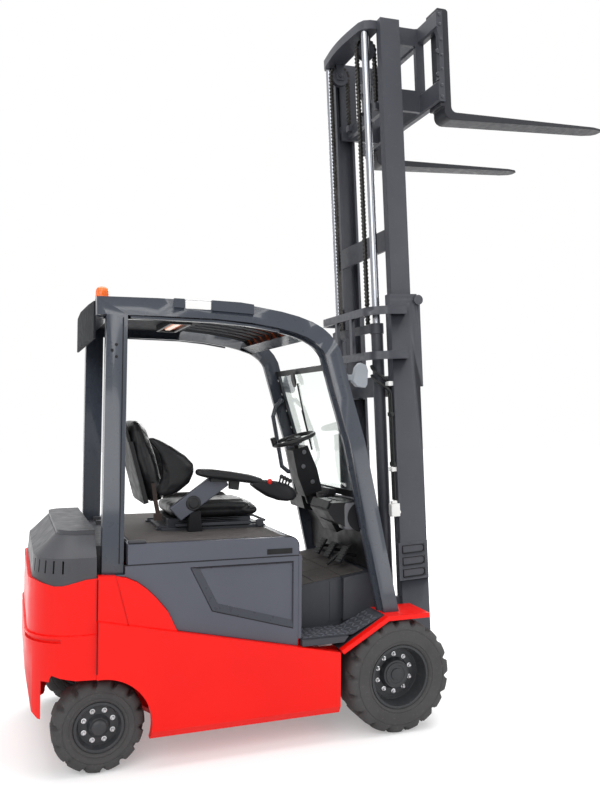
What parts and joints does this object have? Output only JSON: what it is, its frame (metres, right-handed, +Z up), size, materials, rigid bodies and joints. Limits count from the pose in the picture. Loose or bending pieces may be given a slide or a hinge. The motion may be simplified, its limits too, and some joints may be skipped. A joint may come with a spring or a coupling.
{
  "type": "counterbalance forklift truck",
  "caption": "Battery counterbalance forklift truck with a raised two-stage tilting mast, forks, overhead guard, opening seat deck and steered rear wheels.",
  "frame": {"origin": "on the floor under the middle of the truck's outline in plan", "axes": "+X forward towards the fork tips, +Y to the driver's left, +Z up"},
  "size_m": [3.313, 1.235, 3.9513],
  "materials": {
    "body_red": "gloss",
    "cast_red": "gloss paint",
    "dark_plastic": "grained",
    "battery_case": "matt",
    "panel_grey": "satin",
    "black_steel": "matt",
    "glass": "clear",
    "guard_black": "gloss",
    "amber_lens": "gloss",
    "seat_cover": "matt",
    "black_plastic": "satin",
    "lamp_grey": "satin",
    "cast_black": "matt",
    "tyre": "matt",
    "rim_grey": "satin",
    "mast_paint": "satin",
    "chrome": "polished",
    "chain_steel": "oiled",
    "fork_paint": "satin"
  },
  "bodies": {
    "chassis": {"frame": "body_red", "counterweight": "cast_red", "counterweight_cover": "dark_plastic", "battery": "battery_case", "side_panels": "panel_grey", "floor_pan": "black_steel", "mudguards": "body_red", "dash": "dark_plastic", "windshield": "glass", "overhead_guard": "guard_black", "roof_panel": "guard_black", "beacon": "amber_lens", "steering_column": "dark_plastic", "pedals": "black_steel", "work_lights": "lamp_grey", "grab_handle": "guard_black", "drive_axle": "cast_black", "steer_axle": "cast_black"},
    "hood": {"hood": "panel_grey", "seat_base": "black_steel", "seat_cushion": "seat_cover", "seat_back": "seat_cover", "armrest": "dark_plastic"},
    "steering_wheel": {"steering_wheel": "black_plastic"},
    "wheel_front_left": {"tyre_front_left": "tyre", "rim_front_left": "rim_grey"},
    "wheel_front_right": {"tyre_front_right": "tyre", "rim_front_right": "rim_grey"},
    "knuckle_left": {"knuckle_left": "cast_black"},
    "knuckle_right": {"knuckle_right": "cast_black"},
    "wheel_rear_left": {"tyre_rear_left": "tyre", "rim_rear_left": "rim_grey"},
    "wheel_rear_right": {"tyre_rear_right": "tyre", "rim_rear_right": "rim_grey"},
    "mast_outer": {"outer_mast": "mast_paint", "lift_cylinders": "mast_paint", "hoses": "black_plastic"},
    "mast_inner": {"inner_mast": "mast_paint", "lift_rods": "chrome", "lift_chains": "chain_steel"},
    "carriage": {"carriage": "mast_paint", "fork_left": "fork_paint", "fork_right": "fork_paint"},
    "tilt_barrels": {"tilt_barrels": "mast_paint"},
    "tilt_rods": {"tilt_rods": "chrome"}
  },
  "joints": [
    {"name": "front_left_spin", "type": "hinge", "parent": "chassis", "child": "wheel_front_left", "pos_m": [0.19849, 0.505, 0.293], "axis": [0, 1, 0], "continuous": true},
    {"name": "front_right_spin", "type": "hinge", "parent": "chassis", "child": "wheel_front_right", "pos_m": [0.19849, -0.505, 0.293], "axis": [0, 1, 0], "continuous": true},
    {"name": "steer_left", "type": "hinge", "parent": "chassis", "child": "knuckle_left", "pos_m": [-1.33151, 0.375, 0.212], "axis": [0, 0, 1], "range_deg": [-70, 70]},
    {"name": "steer_right", "type": "hinge", "parent": "chassis", "child": "knuckle_right", "pos_m": [-1.33151, -0.375, 0.212], "axis": [0, 0, 1], "range_deg": [-70, 70]},
    {"name": "rear_left_spin", "type": "hinge", "parent": "knuckle_left", "child": "wheel_rear_left", "pos_m": [-1.33151, 0.475, 0.212], "axis": [0, 1, 0], "continuous": true},
    {"name": "rear_right_spin", "type": "hinge", "parent": "knuckle_right", "child": "wheel_rear_right", "pos_m": [-1.33151, -0.475, 0.212], "axis": [0, 1, 0], "continuous": true},
    {"name": "mast_tilt", "type": "hinge", "parent": "chassis", "child": "mast_outer", "pos_m": [0.32849, 0, 0.29], "axis": [0, 1, 0], "range_deg": [-3.5, 9.5]},
    {"name": "mast_lift", "type": "slide", "parent": "mast_outer", "child": "mast_inner", "axis": [-0.0523, 0, 0.9986], "range_m": [-1.646, 0]},
    {"name": "carriage_lift", "type": "slide", "parent": "mast_inner", "child": "carriage", "axis": [-0.0523, 0, 0.9986], "range_m": [-1.646, 0]},
    {"name": "tilt_barrel_swing", "type": "hinge", "parent": "chassis", "child": "tilt_barrels", "pos_m": [-0.23151, 0, 0.48], "axis": [0, 1, 0], "range_deg": [-0.5, 1.2]},
    {"name": "tilt_rod_slide", "type": "slide", "parent": "tilt_barrels", "child": "tilt_rods", "axis": [0.9662, 0, 0.258], "range_m": [-0.022, 0.056]},
    {"name": "hood_hinge", "type": "hinge", "parent": "chassis", "child": "hood", "pos_m": [-1.21351, 0, 1.052], "axis": [0, -1, 0], "range_deg": [0, 50]},
    {"name": "steering_wheel_turn", "type": "hinge", "parent": "chassis", "child": "steering_wheel", "pos_m": [-0.18451, 0, 1.52], "axis": [-0.309, 0, 0.9511], "continuous": true}
  ],
  "couplings": [
    {"joint": "steer_right", "follows": "steer_left", "ratio": 1},
    {"joint": "carriage_lift", "follows": "mast_lift", "ratio": 1},
    {"joint": "tilt_barrel_swing", "follows": "mast_tilt", "ratio": 0.112},
    {"joint": "tilt_rod_slide", "follows": "mast_tilt", "m_per_rad": 0.3249}
  ]
}
